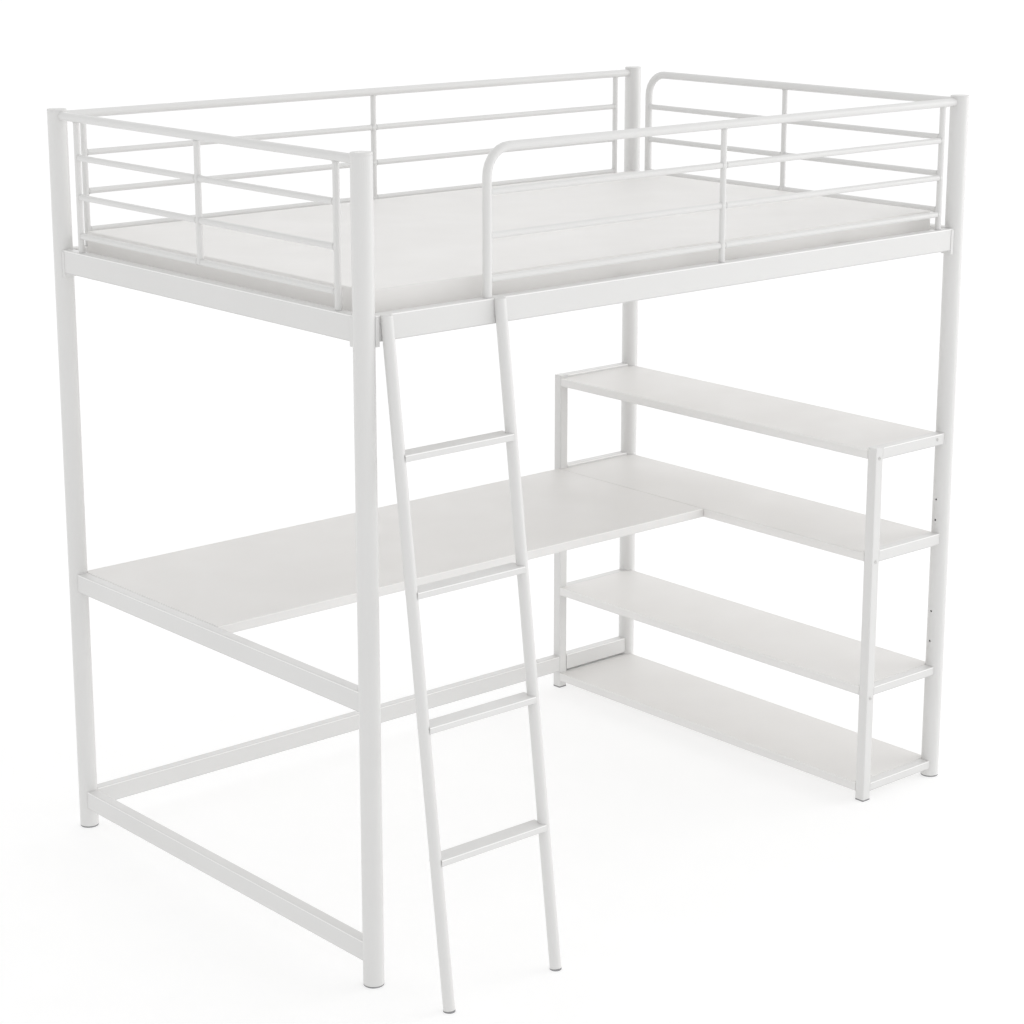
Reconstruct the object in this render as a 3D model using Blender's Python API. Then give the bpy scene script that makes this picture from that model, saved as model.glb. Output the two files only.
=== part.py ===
"""Loft bed with a desk and an open shelf unit, white powder-coated steel tube with white boards.

Frame: +Z up from the floor, +X along the long side from the ladder end to the shelf end,
+Y from the ladder side to the back. The origin is the centre of the footprint on the floor.
Every piece is drawn from the axis of the front left post and carried by one empty.
"""
import math

import bmesh
import bpy
from mathutils import Matrix, Vector

# ---- overall sizes, metres ------------------------------------------------------------------
POST_SPAN_X = 2.030        # front left to front right post, axis to axis
POST_SPAN_Y = 1.270        # front to back post, axis to axis
BED_RAIL_TOP = 1.592       # top of the four bed rails above the floor
POST_ABOVE_RAIL = 0.358    # from the bed rail's top to the top of the post caps

# ---- clearances -----------------------------------------------------------------------------
GAP = 0.0003               # between two faces that touch in the real bed
NOTCH_CLEAR = 0.0010       # between a board's notch and the post it passes
OVERCUT = 0.010            # how far a cutter runs past what it cuts

# ---- posts ----------------------------------------------------------------------------------
POST_D = 0.050
POST_WALL = 0.0015
POST_SEGS = 32
CAP_T = 0.005              # visible disc of a top cap
CAP_EDGE = 0.0015          # its rounded edge
FOOT_T = 0.004             # visible disc of a foot cap
PLUG_L = 0.022             # how far a cap's plug goes into its tube
PLUG_CLEAR = 0.0003

# ---- rectangular tube -----------------------------------------------------------------------
RAIL_W = 0.030             # horizontal width of every frame rail
RAIL_WALL = 0.0015
RAIL_EDGE_R = 0.003
CORNER_STEPS = 2
BED_RAIL_H = 0.060
FLANGE_L = 0.005           # welded end plate of a bed rail, beyond the post's surface
FLANGE_SIDE = 0.0015       # how far it stands out at each side of the rail
FLANGE_DROP = 0.010        # how far it hangs below the rail
LOW_RAIL_TOP = 0.105
LOW_RAIL_H = 0.050
DESK_RAIL_H = 0.050

# ---- mattress base --------------------------------------------------------------------------
BASE_RISE = 0.045          # of its top, above the bed rails
BASE_SINK = 0.020          # of its underside, below the bed rails' tops
BASE_INSET = 0.030         # from the bed rails' inner faces
BASE_EDGE = 0.003
SUPPORT_COUNT = 4
SUPPORT_H = 0.025

# ---- guards ---------------------------------------------------------------------------------
GUARD_TOP_D = 0.022
GUARD_BAR_D = 0.016
GUARD_TOP_SEGS = 16
GUARD_BAR_SEGS = 12
GUARD_TOP_DROP = 0.017     # from the top of the post caps to the top rail's axis
GUARD_LOW_RISE = 0.042     # from the bed rail's top to the lowest bar's axis
GUARD_BARS = 3
GUARD_BEND_R = 0.065
GUARD_BEND_STEPS = 7
FRONT_GUARD_START = 0.355  # axis of the bent upright, from the front left post
FRONT_GUARD_MID = 1.120
FRONT_GUARD_END_IN = 0.069
BACK_GUARD_IN = 0.075      # end uprights from the posts, back guard
LEFT_GUARD_IN = 0.092
RIGHT_GUARD_BACK_IN = 0.072
RIGHT_GUARD_FRONT_IN = 0.056

# ---- desk -----------------------------------------------------------------------------------
DESK_TOP = 0.722
BOARD_T = 0.025
BOARD_EDGE = 0.002
DESK_DEPTH = 0.640         # front edge to the back posts' axis
DESK_BACK_IN = 0.005
DESK_BAR_IN = 0.140        # stiffening bar's axis behind the front edge
DESK_BAR_LAP = 0.120       # how far it runs on below the shelf
DESK_BAR_H = 0.025
DESK_BAR_END_T = 0.003     # plate in its open end

# ---- shelf unit -----------------------------------------------------------------------------
SHELF_DEPTH = 0.308        # from the uprights' outer face to the right posts' axis
UPRIGHT_W = 0.030          # square tube, and the width of the shelves' side rails
UPRIGHT_WALL = 0.0015
UPRIGHT_TOP_T = 0.003
UPRIGHT_FOOT_T = 0.004
LOW_SHELF_TOP = 0.050
MID_SHELF_TOP = 0.335
HIGH_SHELF_TOP = 1.012
SHELF_LIP = 0.008          # how far the upper side rails stand above their boards
BOLT_HOLE_D = 0.006        # spare holes in the front right post, for shelves at other heights
BOLT_HOLE_SEGS = 12
BOLT_HOLE_HEIGHTS = (0.410, 0.499, 0.767, 0.827)

# ---- ladder ---------------------------------------------------------------------------------
STILE_D = 0.028
STILE_WALL = 0.0015
STILE_SEGS = 24
STILE_CLEAR = 0.003        # between the left stile and the bed rail's end plate
LADDER_W = 0.328           # stile axis to stile axis
LADDER_LEAN = 0.200        # how far the feet stand out from the top
STILE_TOP_OUT = 0.006      # stile axis in front of the bed rail's face, at the rail's top
STILE_PLUG_DROP = 0.030    # the bore stops this far below the bed rail
RUNG_COUNT = 4
FIRST_RUNG_TOP = 0.360
RUNG_DEPTH = 0.046
RUNG_H = 0.016
RUNG_T = 0.002
RUNG_EDGE_R = 0.003
RUNG_WRAP = 0.005          # the rung's ends stop this far short of the stile axis
RUNG_BACK = 0.007          # the middle of the rung lies this far behind the stile axis
LADDER_FOOT_D = 0.0285
LADDER_FOOT_L = 0.003      # visible height, along the stile

# ---- values that follow ---------------------------------------------------------------------
TOTAL_H = BED_RAIL_TOP + POST_ABOVE_RAIL
POST_R = POST_D / 2
BORE_R = POST_R + GAP
HALF_W = RAIL_W / 2
BED_RAIL_LOW = BED_RAIL_TOP - BED_RAIL_H
GUARD_TOP_Z = TOTAL_H - GUARD_TOP_DROP
GUARD_LOW_Z = BED_RAIL_TOP + GUARD_LOW_RISE
UPRIGHT_X = POST_SPAN_X - SHELF_DEPTH
STILE_LEFT = POST_R + FLANGE_L + STILE_CLEAR + STILE_D / 2
LEAN_ANGLE = math.atan2(LADDER_LEAN, BED_RAIL_TOP)
STILE_TOP_Y = -HALF_W - STILE_TOP_OUT
STILE_FOOT_Y = STILE_TOP_Y - LADDER_LEAN
FOOT_REACH = LADDER_FOOT_D / 2 / math.cos(LEAN_ANGLE)
FRONT_MOST = min(STILE_FOOT_Y - FOOT_REACH, -POST_R)
CENTRE = Vector((POST_SPAN_X / 2, (FRONT_MOST + POST_SPAN_Y + POST_R) / 2, 0.0))

PAINT = ("white_paint", (0.83, 0.83, 0.82), 0.38, 0.0)
BOARD = ("white_board", (0.82, 0.82, 0.81), 0.50, 0.0)
CAP = ("white_cap", (0.80, 0.80, 0.79), 0.45, 0.0)
FOOT = ("grey_foot", (0.30, 0.30, 0.31), 0.65, 0.0)


def clear_scene():
    for obj in list(bpy.data.objects):
        bpy.data.objects.remove(obj, do_unlink=True)


def material(spec):
    name, colour, rough, metal = spec
    mat = bpy.data.materials.get(name)
    if mat is None:
        mat = bpy.data.materials.new(name)
        mat.use_nodes = True
        shader = mat.node_tree.nodes["Principled BSDF"]
        shader.inputs["Base Color"].default_value = (*colour, 1.0)
        shader.inputs["Roughness"].default_value = rough
        shader.inputs["Metallic"].default_value = metal
        mat.diffuse_color = (*colour, 1.0)
    return mat


# ---- outlines -------------------------------------------------------------------------------
def circle(radius, segs):
    turn = 2 * math.pi / segs
    return [Vector((radius * math.cos(turn * i), radius * math.sin(turn * i))) for i in range(segs)]


def rounded_rect(width, height, radius):
    points = []
    corners = ((1, 1, 0), (-1, 1, 90), (-1, -1, 180), (1, -1, 270))
    for sx, sy, start in corners:
        cx = sx * (width / 2 - radius)
        cy = sy * (height / 2 - radius)
        for i in range(CORNER_STEPS + 1):
            a = math.radians(start + 90 * i / CORNER_STEPS)
            points.append(Vector((cx + radius * math.cos(a), cy + radius * math.sin(a))))
    return points


def tread_outline():
    """A folded tread seen from its end: a flat top with a lip down at the front and the back."""
    half = RUNG_DEPTH / 2
    points = [Vector((-half + RUNG_T, -RUNG_H)), Vector((-half, -RUNG_H))]
    for side, start in ((-1, 180), (1, 90)):
        for i in range(CORNER_STEPS + 1):
            a = math.radians(start - 90 * i / CORNER_STEPS)
            cx = side * (half - RUNG_EDGE_R)
            points.append(Vector((cx + RUNG_EDGE_R * math.cos(a),
                                  -RUNG_EDGE_R + RUNG_EDGE_R * math.sin(a))))
    points += [Vector((half, -RUNG_H)), Vector((half - RUNG_T, -RUNG_H))]
    points += [Vector((half - RUNG_T, -RUNG_T)), Vector((-half + RUNG_T, -RUNG_T))]
    return points


# ---- solids ---------------------------------------------------------------------------------
def loft(loops, ring=False):
    """A closed mesh through equal loops of 3-D points; a ring joins the last loop to the first."""
    bm = bmesh.new()
    rows = [[bm.verts.new(p) for p in loop] for loop in loops]
    count = len(rows[0])
    pairs = list(zip(rows, rows[1:]))
    if ring:
        pairs.append((rows[-1], rows[0]))
    for low, high in pairs:
        for i in range(count):
            j = (i + 1) % count
            bm.faces.new((low[i], low[j], high[j], high[i]))
    if not ring:
        bm.faces.new(list(reversed(rows[0])))
        bm.faces.new(rows[-1])
    bmesh.ops.recalc_face_normals(bm, faces=bm.faces)
    mesh = bpy.data.meshes.new("solid")
    bm.to_mesh(mesh)
    bm.free()
    return mesh


def at_height(outline, z):
    return [Vector((p.x, p.y, z)) for p in outline]


def rod_mesh(outline, length):
    return loft([at_height(outline, 0.0), at_height(outline, length)])


def tube_mesh(outer, inner, length):
    loops = [at_height(outer, 0.0), at_height(outer, length),
             at_height(inner, length), at_height(inner, 0.0)]
    return loft(loops, ring=True)


def turned_mesh(profile, segs):
    """A solid of revolution about Z through (radius, height) points, bottom to top."""
    return loft([at_height(circle(r, segs), z) for r, z in profile])


def box_mesh(low, high, edge=0.0):
    bm = bmesh.new()
    bmesh.ops.create_cube(bm, size=1.0)
    size = Vector(high) - Vector(low)
    bmesh.ops.scale(bm, vec=size, verts=bm.verts)
    bmesh.ops.translate(bm, vec=(Vector(high) + Vector(low)) / 2, verts=bm.verts)
    if edge > 0:
        bmesh.ops.bevel(bm, geom=list(bm.edges), offset=edge, segments=1, affect="EDGES")
    bmesh.ops.recalc_face_normals(bm, faces=bm.faces)
    mesh = bpy.data.meshes.new("box")
    bm.to_mesh(mesh)
    bm.free()
    return mesh


def path_mesh(points, radius, segs, across):
    """A round rod swept along a flat path; across is the unit normal of the path's plane."""
    loops = []
    for i, point in enumerate(points):
        back = points[max(i - 1, 0)]
        ahead = points[min(i + 1, len(points) - 1)]
        along = (ahead - back).normalized()
        side = across.cross(along)
        stretch = 1.0
        if 0 < i < len(points) - 1:
            bend = (ahead - point).angle(point - back)
            stretch = 1.0 / math.cos(bend / 2)
        loops.append([point + side * (p.x * stretch) + across * p.y for p in circle(radius, segs)])
    return loft(loops)


# ---- placing --------------------------------------------------------------------------------
TURN = {
    "X": Matrix.Rotation(math.radians(90), 4, "Y"),
    "Y": Matrix.Rotation(math.radians(-90), 4, "X"),
    "Z": Matrix.Identity(4),
}


def put(name, mesh, spec, location=(0, 0, 0), turn="Z", smooth_deg=35):
    obj = bpy.data.objects.new(name, mesh)
    obj.matrix_world = Matrix.Translation(Vector(location)) @ TURN[turn]
    bpy.context.scene.collection.objects.link(obj)
    if not mesh.materials:
        mesh.materials.append(material(spec))
        mesh.shade_smooth()
        mesh.set_sharp_from_angle(angle=math.radians(smooth_deg))
    return obj


def cutter(mesh, matrix=None):
    obj = bpy.data.objects.new("cutter", mesh)
    if matrix is not None:
        obj.matrix_world = matrix
    obj.hide_render = True
    obj.display_type = "WIRE"
    bpy.context.scene.collection.objects.link(obj)
    return obj


def combine(obj, tools, operation, smooth_deg=35):
    """Apply one exact Boolean for each tool, then drop the tools."""
    for tool in tools:
        mod = obj.modifiers.new("fit", "BOOLEAN")
        mod.operation = operation
        mod.solver = "EXACT"
        mod.object = tool
    bpy.context.view_layer.update()
    shaped = obj.evaluated_get(bpy.context.evaluated_depsgraph_get())
    mesh = bpy.data.meshes.new_from_object(shaped)
    obj.modifiers.clear()
    obj.data = mesh
    mesh.shade_smooth()
    mesh.set_sharp_from_angle(angle=math.radians(smooth_deg))
    for tool in tools:
        bpy.data.objects.remove(tool, do_unlink=True)
    return obj


def post_cutter(x, y, clearance=GAP):
    mesh = rod_mesh(circle(POST_R + clearance, POST_SEGS), TOTAL_H + 2 * OVERCUT)
    return cutter(mesh, Matrix.Translation((x, y, -OVERCUT)))


def box_cutter(low, high):
    return cutter(box_mesh(low, high))


POSTS = {
    "front_left": (0.0, 0.0),
    "front_right": (POST_SPAN_X, 0.0),
    "back_left": (0.0, POST_SPAN_Y),
    "back_right": (POST_SPAN_X, POST_SPAN_Y),
}


def mitre(corner, turn):
    """What lies beyond the diagonal of a corner, for the rail that runs along turn."""
    post = Vector(POSTS[corner])
    along_x = 1 if corner.endswith("left") else -1
    along_y = 1 if corner.startswith("front") else -1
    diagonal = Vector((along_x, along_y)).normalized()
    away = Vector((-along_x, along_y)).normalized() * (1 if turn == "X" else -1)
    near = post - away * (GAP / 2)
    far = post + away * POST_D
    outline = [near, near + diagonal * POST_D, far + diagonal * POST_D, far]
    return cutter(loft([at_height(outline, -OVERCUT), at_height(outline, TOTAL_H)]))


def end_cutters(turn, corners, side):
    """The posts at a rail's ends, and a mitre where the rail is too wide to clear its neighbour."""
    tools = [post_cutter(*POSTS[corner]) for corner in corners]
    if side * math.sqrt(2) > BORE_R:
        tools += [mitre(corner, turn) for corner in corners]
    return tools


# ---- the pieces -----------------------------------------------------------------------------
def make_posts():
    inner_r = POST_R - POST_WALL
    plug_r = inner_r - PLUG_CLEAR
    low = FOOT_T + GAP
    high = TOTAL_H - CAP_T - GAP
    tube = tube_mesh(circle(POST_R, POST_SEGS), circle(inner_r, POST_SEGS), high - low)
    cap = turned_mesh([(plug_r, -PLUG_L), (plug_r, 0.0), (POST_R, 0.0),
                       (POST_R, CAP_T - CAP_EDGE), (POST_R - CAP_EDGE, CAP_T)], POST_SEGS)
    foot = turned_mesh([(POST_R - CAP_EDGE, 0.0), (POST_R, CAP_EDGE), (POST_R, FOOT_T),
                        (plug_r, FOOT_T), (plug_r, FOOT_T + PLUG_L)], POST_SEGS)
    for corner, (x, y) in POSTS.items():
        post = put("post_" + corner, tube, PAINT, (x, y, low))
        put("post_cap_" + corner, cap, CAP, (x, y, TOTAL_H - CAP_T))
        put("foot_cap_" + corner, foot, FOOT, (x, y, 0.0))
        if corner == "front_right":
            drills = []
            for z in BOLT_HOLE_HEIGHTS:
                drill = rod_mesh(circle(BOLT_HOLE_D / 2, BOLT_HOLE_SEGS), POST_D)
                drills.append(cutter(drill, Matrix.Translation((x - POST_D, y, z)) @ TURN["X"]))
            combine(post, drills, "DIFFERENCE")


def rail(name, turn, start, length, height, across=RAIL_W):
    """A hollow rectangular rail from start along an axis; start is on its centre line."""
    wide, tall = (height, across) if turn == "X" else (across, height)
    inner_r = RAIL_EDGE_R - RAIL_WALL
    outer = rounded_rect(wide, tall, RAIL_EDGE_R)
    inner = rounded_rect(wide - 2 * RAIL_WALL, tall - 2 * RAIL_WALL, inner_r)
    return put(name, tube_mesh(outer, inner, length), PAINT, start, turn)


def closed_rail(name, turn, start, length, height, end_wall):
    """A rail like rail's, with a plate welded in its far end."""
    wide, tall = (height, RAIL_W) if turn == "X" else (RAIL_W, height)
    body = rod_mesh(rounded_rect(wide, tall, RAIL_EDGE_R), length)
    obj = put(name, body, PAINT, start, turn)
    inner = rounded_rect(wide - 2 * RAIL_WALL, tall - 2 * RAIL_WALL, RAIL_EDGE_R - RAIL_WALL)
    matrix = Matrix.Translation(start) @ TURN[turn] @ Matrix.Translation((0, 0, -OVERCUT))
    bore = cutter(rod_mesh(inner, length - end_wall + OVERCUT), matrix)
    return combine(obj, [bore], "DIFFERENCE")


def bed_rail(name, turn, corners):
    """A bed rail with a saddle plate at each end that hugs the post and hangs a little lower."""
    start = POSTS[corners[0]]
    length = POST_SPAN_X if turn == "X" else POST_SPAN_Y
    mid_z = BED_RAIL_TOP - BED_RAIL_H / 2
    wide, tall = (BED_RAIL_H, RAIL_W) if turn == "X" else (RAIL_W, BED_RAIL_H)
    body = rod_mesh(rounded_rect(wide, tall, RAIL_EDGE_R), length)
    obj = put(name, body, PAINT, (start[0], start[1], mid_z), turn)
    side = HALF_W + FLANGE_SIDE
    reach = BORE_R + FLANGE_L
    plates = []
    for near, far in ((0.0, reach), (length - reach, length)):
        if turn == "X":
            low = (start[0] + near, start[1] - side, BED_RAIL_LOW - FLANGE_DROP)
            high = (start[0] + far, start[1] + side, BED_RAIL_TOP - RAIL_EDGE_R)
        else:
            low = (start[0] - side, start[1] + near, BED_RAIL_LOW - FLANGE_DROP)
            high = (start[0] + side, start[1] + far, BED_RAIL_TOP - RAIL_EDGE_R)
        plates.append(box_cutter(low, high))
    combine(obj, plates, "UNION")
    inner = rounded_rect(wide - 2 * RAIL_WALL, tall - 2 * RAIL_WALL, RAIL_EDGE_R - RAIL_WALL)
    matrix = Matrix.Translation((start[0], start[1], mid_z)) @ TURN[turn]
    bore = cutter(rod_mesh(inner, length + 2 * OVERCUT),
                  matrix @ Matrix.Translation((0, 0, -OVERCUT)))
    return combine(obj, [bore] + end_cutters(turn, corners, side), "DIFFERENCE")


def make_bed_frame():
    bed_rail("bed_rail_front", "X", ("front_left", "front_right"))
    bed_rail("bed_rail_back", "X", ("back_left", "back_right"))
    bed_rail("bed_rail_left", "Y", ("front_left", "back_left"))
    bed_rail("bed_rail_right", "Y", ("front_right", "back_right"))
    low = HALF_W + GAP
    under = BED_RAIL_TOP - BASE_SINK
    pitch = (POST_SPAN_X - RAIL_W) / (SUPPORT_COUNT + 1)
    for i in range(SUPPORT_COUNT):
        x = HALF_W + pitch * (i + 1)
        rail("base_support_%d" % (i + 1), "Y", (x, low, under - SUPPORT_H / 2),
             POST_SPAN_Y - 2 * low, SUPPORT_H)
    inset = HALF_W + BASE_INSET
    base = box_mesh((inset, inset, under + GAP),
                    (POST_SPAN_X - inset, POST_SPAN_Y - inset, BED_RAIL_TOP + BASE_RISE), BASE_EDGE)
    put("mattress_base", base, BOARD)


def make_low_rails():
    z = LOW_RAIL_TOP - LOW_RAIL_H / 2
    obj = rail("low_rail_left", "Y", (0.0, 0.0, z), POST_SPAN_Y, LOW_RAIL_H)
    combine(obj, end_cutters("Y", ("front_left", "back_left"), HALF_W), "DIFFERENCE")
    obj = rail("low_rail_back_long", "X", (0.0, POST_SPAN_Y, z), UPRIGHT_X - GAP, LOW_RAIL_H)
    combine(obj, end_cutters("X", ("back_left",), HALF_W), "DIFFERENCE")
    start = UPRIGHT_X + UPRIGHT_W + GAP
    obj = rail("low_rail_back_short", "X", (start, POST_SPAN_Y, z), POST_SPAN_X - start, LOW_RAIL_H)
    combine(obj, [post_cutter(*POSTS["back_right"])], "DIFFERENCE")


# ---- guards: drawn in their own upright plane, u along the bed's side, z up --------------------
def bend(corner_u, toward, z_top):
    """Points of the quarter bend from the level top rail down into the upright at corner_u."""
    points = []
    for i in range(GUARD_BEND_STEPS + 1):
        a = math.radians(90 * i / GUARD_BEND_STEPS)
        u = corner_u + toward * GUARD_BEND_R * (1 - math.sin(a))
        z = z_top - GUARD_BEND_R * (1 - math.cos(a))
        points.append((u, z))
    return points


def guard(name, turn, origin, top_points, ends, mid, mid_low, posts):
    """One welded guard: a top rail, level bars between the end uprights and a middle upright."""
    axis = Vector((1, 0, 0)) if turn == "X" else Vector((0, 1, 0))
    across = Vector((0, 1, 0)) if turn == "X" else Vector((1, 0, 0))
    base = Vector((origin[0], origin[1], 0.0))

    def spot(u, z):
        return base + axis * u + Vector((0, 0, z))

    top = path_mesh([spot(u, z) for u, z in top_points], GUARD_TOP_D / 2, GUARD_TOP_SEGS, across)
    obj = put(name, top, PAINT)
    foot_z = BED_RAIL_TOP + GAP
    rods = []
    for u, straight in ends:
        if straight:
            rods.append([(u, foot_z), (u, GUARD_TOP_Z)])
    rods.append([(mid, mid_low), (mid, GUARD_TOP_Z)])
    pitch = (GUARD_TOP_Z - GUARD_LOW_Z) / GUARD_BARS
    for i in range(GUARD_BARS):
        z = GUARD_LOW_Z + pitch * i
        rods.append([(ends[0][0], z), (ends[1][0], z)])
    tools = []
    for rod in rods:
        mesh = path_mesh([spot(u, z) for u, z in rod], GUARD_BAR_D / 2, GUARD_BAR_SEGS, across)
        tools.append(cutter(mesh))
    combine(obj, tools, "UNION")
    return combine(obj, [post_cutter(*POSTS[p]) for p in posts], "DIFFERENCE")


def make_guards():
    foot_z = BED_RAIL_TOP + GAP
    top = GUARD_TOP_Z
    end = POST_SPAN_X - FRONT_GUARD_END_IN
    path = [(POST_SPAN_X, top)] + bend(FRONT_GUARD_START, 1, top) + [(FRONT_GUARD_START, foot_z)]
    guard("guard_front", "X", (0, 0), path, ((FRONT_GUARD_START, False), (end, True)),
          FRONT_GUARD_MID, foot_z, ("front_right",))
    guard("guard_back", "X", (0, POST_SPAN_Y), [(0.0, top), (POST_SPAN_X, top)],
          ((BACK_GUARD_IN, True), (POST_SPAN_X - BACK_GUARD_IN, True)),
          POST_SPAN_X / 2, foot_z, ("back_left", "back_right"))
    guard("guard_left", "Y", (0, 0), [(0.0, top), (POST_SPAN_Y, top)],
          ((LEFT_GUARD_IN, True), (POST_SPAN_Y - LEFT_GUARD_IN, True)),
          POST_SPAN_Y / 2, GUARD_LOW_Z, ("front_left", "back_left"))
    corner = POST_SPAN_Y - RIGHT_GUARD_BACK_IN
    path = [(0.0, top)] + bend(corner, -1, top) + [(corner, foot_z)]
    guard("guard_right", "Y", (POST_SPAN_X, 0), path,
          ((RIGHT_GUARD_FRONT_IN, True), (corner, False)),
          POST_SPAN_Y / 2, GUARD_LOW_Z, ("front_right",))


def make_desk():
    start = (0.0, 0.0, DESK_TOP - DESK_RAIL_H / 2)
    obj = rail("desk_rail_left", "Y", start, POST_SPAN_Y, DESK_RAIL_H)
    combine(obj, end_cutters("Y", ("front_left", "back_left"), HALF_W), "DIFFERENCE")
    under = DESK_TOP - BOARD_T - GAP
    obj = rail("desk_rail_back", "X", (0.0, POST_SPAN_Y, under - DESK_BAR_H / 2),
               UPRIGHT_X - GAP, DESK_BAR_H)
    combine(obj, end_cutters("X", ("back_left",), HALF_W), "DIFFERENCE")
    front = POST_SPAN_Y - DESK_DEPTH
    closed_rail("desk_bar", "X", (HALF_W + GAP, front + DESK_BAR_IN, under - DESK_BAR_H / 2),
                UPRIGHT_X + DESK_BAR_LAP - HALF_W - GAP, DESK_BAR_H, DESK_BAR_END_T)
    board = box_mesh((HALF_W + GAP, front, DESK_TOP - BOARD_T),
                     (UPRIGHT_X - GAP, POST_SPAN_Y - DESK_BACK_IN, DESK_TOP), BOARD_EDGE)
    obj = put("desk_top", board, BOARD)
    combine(obj, [post_cutter(*POSTS["back_left"], NOTCH_CLEAR)], "DIFFERENCE")


def make_shelves():
    upright_top = HIGH_SHELF_TOP + SHELF_LIP
    outer = rounded_rect(UPRIGHT_W, UPRIGHT_W, RAIL_EDGE_R)
    inner_w = UPRIGHT_W - 2 * UPRIGHT_WALL
    inner = rounded_rect(inner_w, inner_w, RAIL_EDGE_R - UPRIGHT_WALL)
    low = UPRIGHT_FOOT_T + GAP
    tube = loft([at_height(inner, upright_top - UPRIGHT_TOP_T - low), at_height(inner, 0.0),
                 at_height(outer, 0.0), at_height(outer, upright_top - low)])
    plug_w = inner_w - 2 * PLUG_CLEAR
    plug = rounded_rect(plug_w, plug_w, RAIL_EDGE_R - UPRIGHT_WALL)
    foot = loft([at_height(outer, 0.0), at_height(outer, UPRIGHT_FOOT_T),
                 at_height(plug, UPRIGHT_FOOT_T), at_height(plug, UPRIGHT_FOOT_T + PLUG_L)])
    mid_x = UPRIGHT_X + UPRIGHT_W / 2
    for side, y in (("front", 0.0), ("back", POST_SPAN_Y)):
        put("shelf_upright_" + side, tube, PAINT, (mid_x, y, low))
        put("shelf_foot_" + side, foot, FOOT, (mid_x, y, 0.0))
    levels = ((LOW_SHELF_TOP, 0.0), (MID_SHELF_TOP, 0.0), (DESK_TOP, SHELF_LIP),
              (HIGH_SHELF_TOP, SHELF_LIP))
    inner_y = UPRIGHT_W / 2 + GAP
    start = UPRIGHT_X + UPRIGHT_W + GAP
    for number, (top, lip) in enumerate(levels, 1):
        board = box_mesh((UPRIGHT_X, inner_y, top - BOARD_T),
                         (POST_SPAN_X, POST_SPAN_Y - inner_y, top), BOARD_EDGE)
        obj = put("shelf_board_%d" % number, board, BOARD)
        combine(obj, [post_cutter(*POSTS["front_right"], NOTCH_CLEAR),
                      post_cutter(*POSTS["back_right"], NOTCH_CLEAR)], "DIFFERENCE")
        height = BOARD_T + lip
        for side, y in (("front", 0.0), ("back", POST_SPAN_Y)):
            obj = rail("shelf_rail_%s_%d" % (side, number), "X",
                       (start, y, top + lip - height / 2), POST_SPAN_X - start, height,
                       UPRIGHT_W)
            combine(obj, [post_cutter(*POSTS[side + "_right"])], "DIFFERENCE")


def stile_matrix(x):
    """The stile's own frame: Z up along the leaning axis from the floor."""
    tilt = Matrix.Rotation(-LEAN_ANGLE, 4, "X")
    return Matrix.Translation((x, STILE_FOOT_Y, 0.0)) @ tilt


def make_ladder():
    long = BED_RAIL_TOP / math.cos(LEAN_ANGLE)
    reach = 4 * OVERCUT
    stile_r = STILE_D / 2
    bore_r = stile_r - STILE_WALL
    bore_end = (BED_RAIL_LOW - STILE_PLUG_DROP) / math.cos(LEAN_ANGLE)
    foot_top = LADDER_FOOT_L + GAP
    foot_r = LADDER_FOOT_D / 2
    far = 1.0
    for side, x in (("left", STILE_LEFT), ("right", STILE_LEFT + LADDER_W)):
        frame = stile_matrix(x)
        body = loft([at_height(circle(bore_r, STILE_SEGS), bore_end),
                     at_height(circle(bore_r, STILE_SEGS), foot_top),
                     at_height(circle(stile_r, STILE_SEGS), foot_top),
                     at_height(circle(stile_r, STILE_SEGS), long + reach)])
        obj = put("ladder_stile_" + side, body, PAINT)
        obj.matrix_world = frame
        above = box_cutter((x - far, -far, BED_RAIL_TOP), (x + far, far, BED_RAIL_TOP + far))
        behind = box_cutter((x - far, -HALF_W - GAP, BED_RAIL_LOW - far),
                            (x + far, far, BED_RAIL_TOP + far))
        combine(obj, [above, behind], "DIFFERENCE")
        foot = loft([at_height(circle(foot_r, STILE_SEGS), -reach),
                     at_height(circle(foot_r, STILE_SEGS), LADDER_FOOT_L),
                     at_height(circle(bore_r - PLUG_CLEAR, STILE_SEGS), LADDER_FOOT_L),
                     at_height(circle(bore_r - PLUG_CLEAR, STILE_SEGS), LADDER_FOOT_L + PLUG_L)])
        obj = put("ladder_foot_" + side, foot, FOOT)
        obj.matrix_world = frame
        combine(obj, [box_cutter((x - far, STILE_FOOT_Y - far, -far),
                                 (x + far, STILE_FOOT_Y + far, 0.0))], "DIFFERENCE")
    pitch = (BED_RAIL_TOP - FIRST_RUNG_TOP) / RUNG_COUNT
    left = STILE_LEFT + RUNG_WRAP
    length = LADDER_W - 2 * RUNG_WRAP
    for i in range(RUNG_COUNT):
        z = FIRST_RUNG_TOP + pitch * i
        y = STILE_FOOT_Y + math.tan(LEAN_ANGLE) * (z - RUNG_H / 2) + RUNG_BACK
        outline = [Vector((-p.y, p.x)) for p in tread_outline()]
        obj = put("ladder_rung_%d" % (i + 1), rod_mesh(outline, length), PAINT, (left, y, z), "X")
        tools = []
        for x in (STILE_LEFT, STILE_LEFT + LADDER_W):
            rod = rod_mesh(circle(stile_r + GAP, STILE_SEGS), long + reach)
            tools.append(cutter(rod, stile_matrix(x)))
        combine(obj, tools, "DIFFERENCE")


def main():
    clear_scene()
    make_posts()
    make_bed_frame()
    make_low_rails()
    make_guards()
    make_desk()
    make_shelves()
    make_ladder()
    root = bpy.data.objects.new("loft_bed", None)
    bpy.context.scene.collection.objects.link(root)
    for obj in list(bpy.context.scene.objects):
        if obj is not root:
            obj.parent = root
    root.location = -CENTRE
    bpy.context.view_layer.update()


main()
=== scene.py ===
"""Loft bed with a desk and open shelves: white powder-coated steel tube and white faced boards."""
import math
from contextlib import contextmanager

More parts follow.
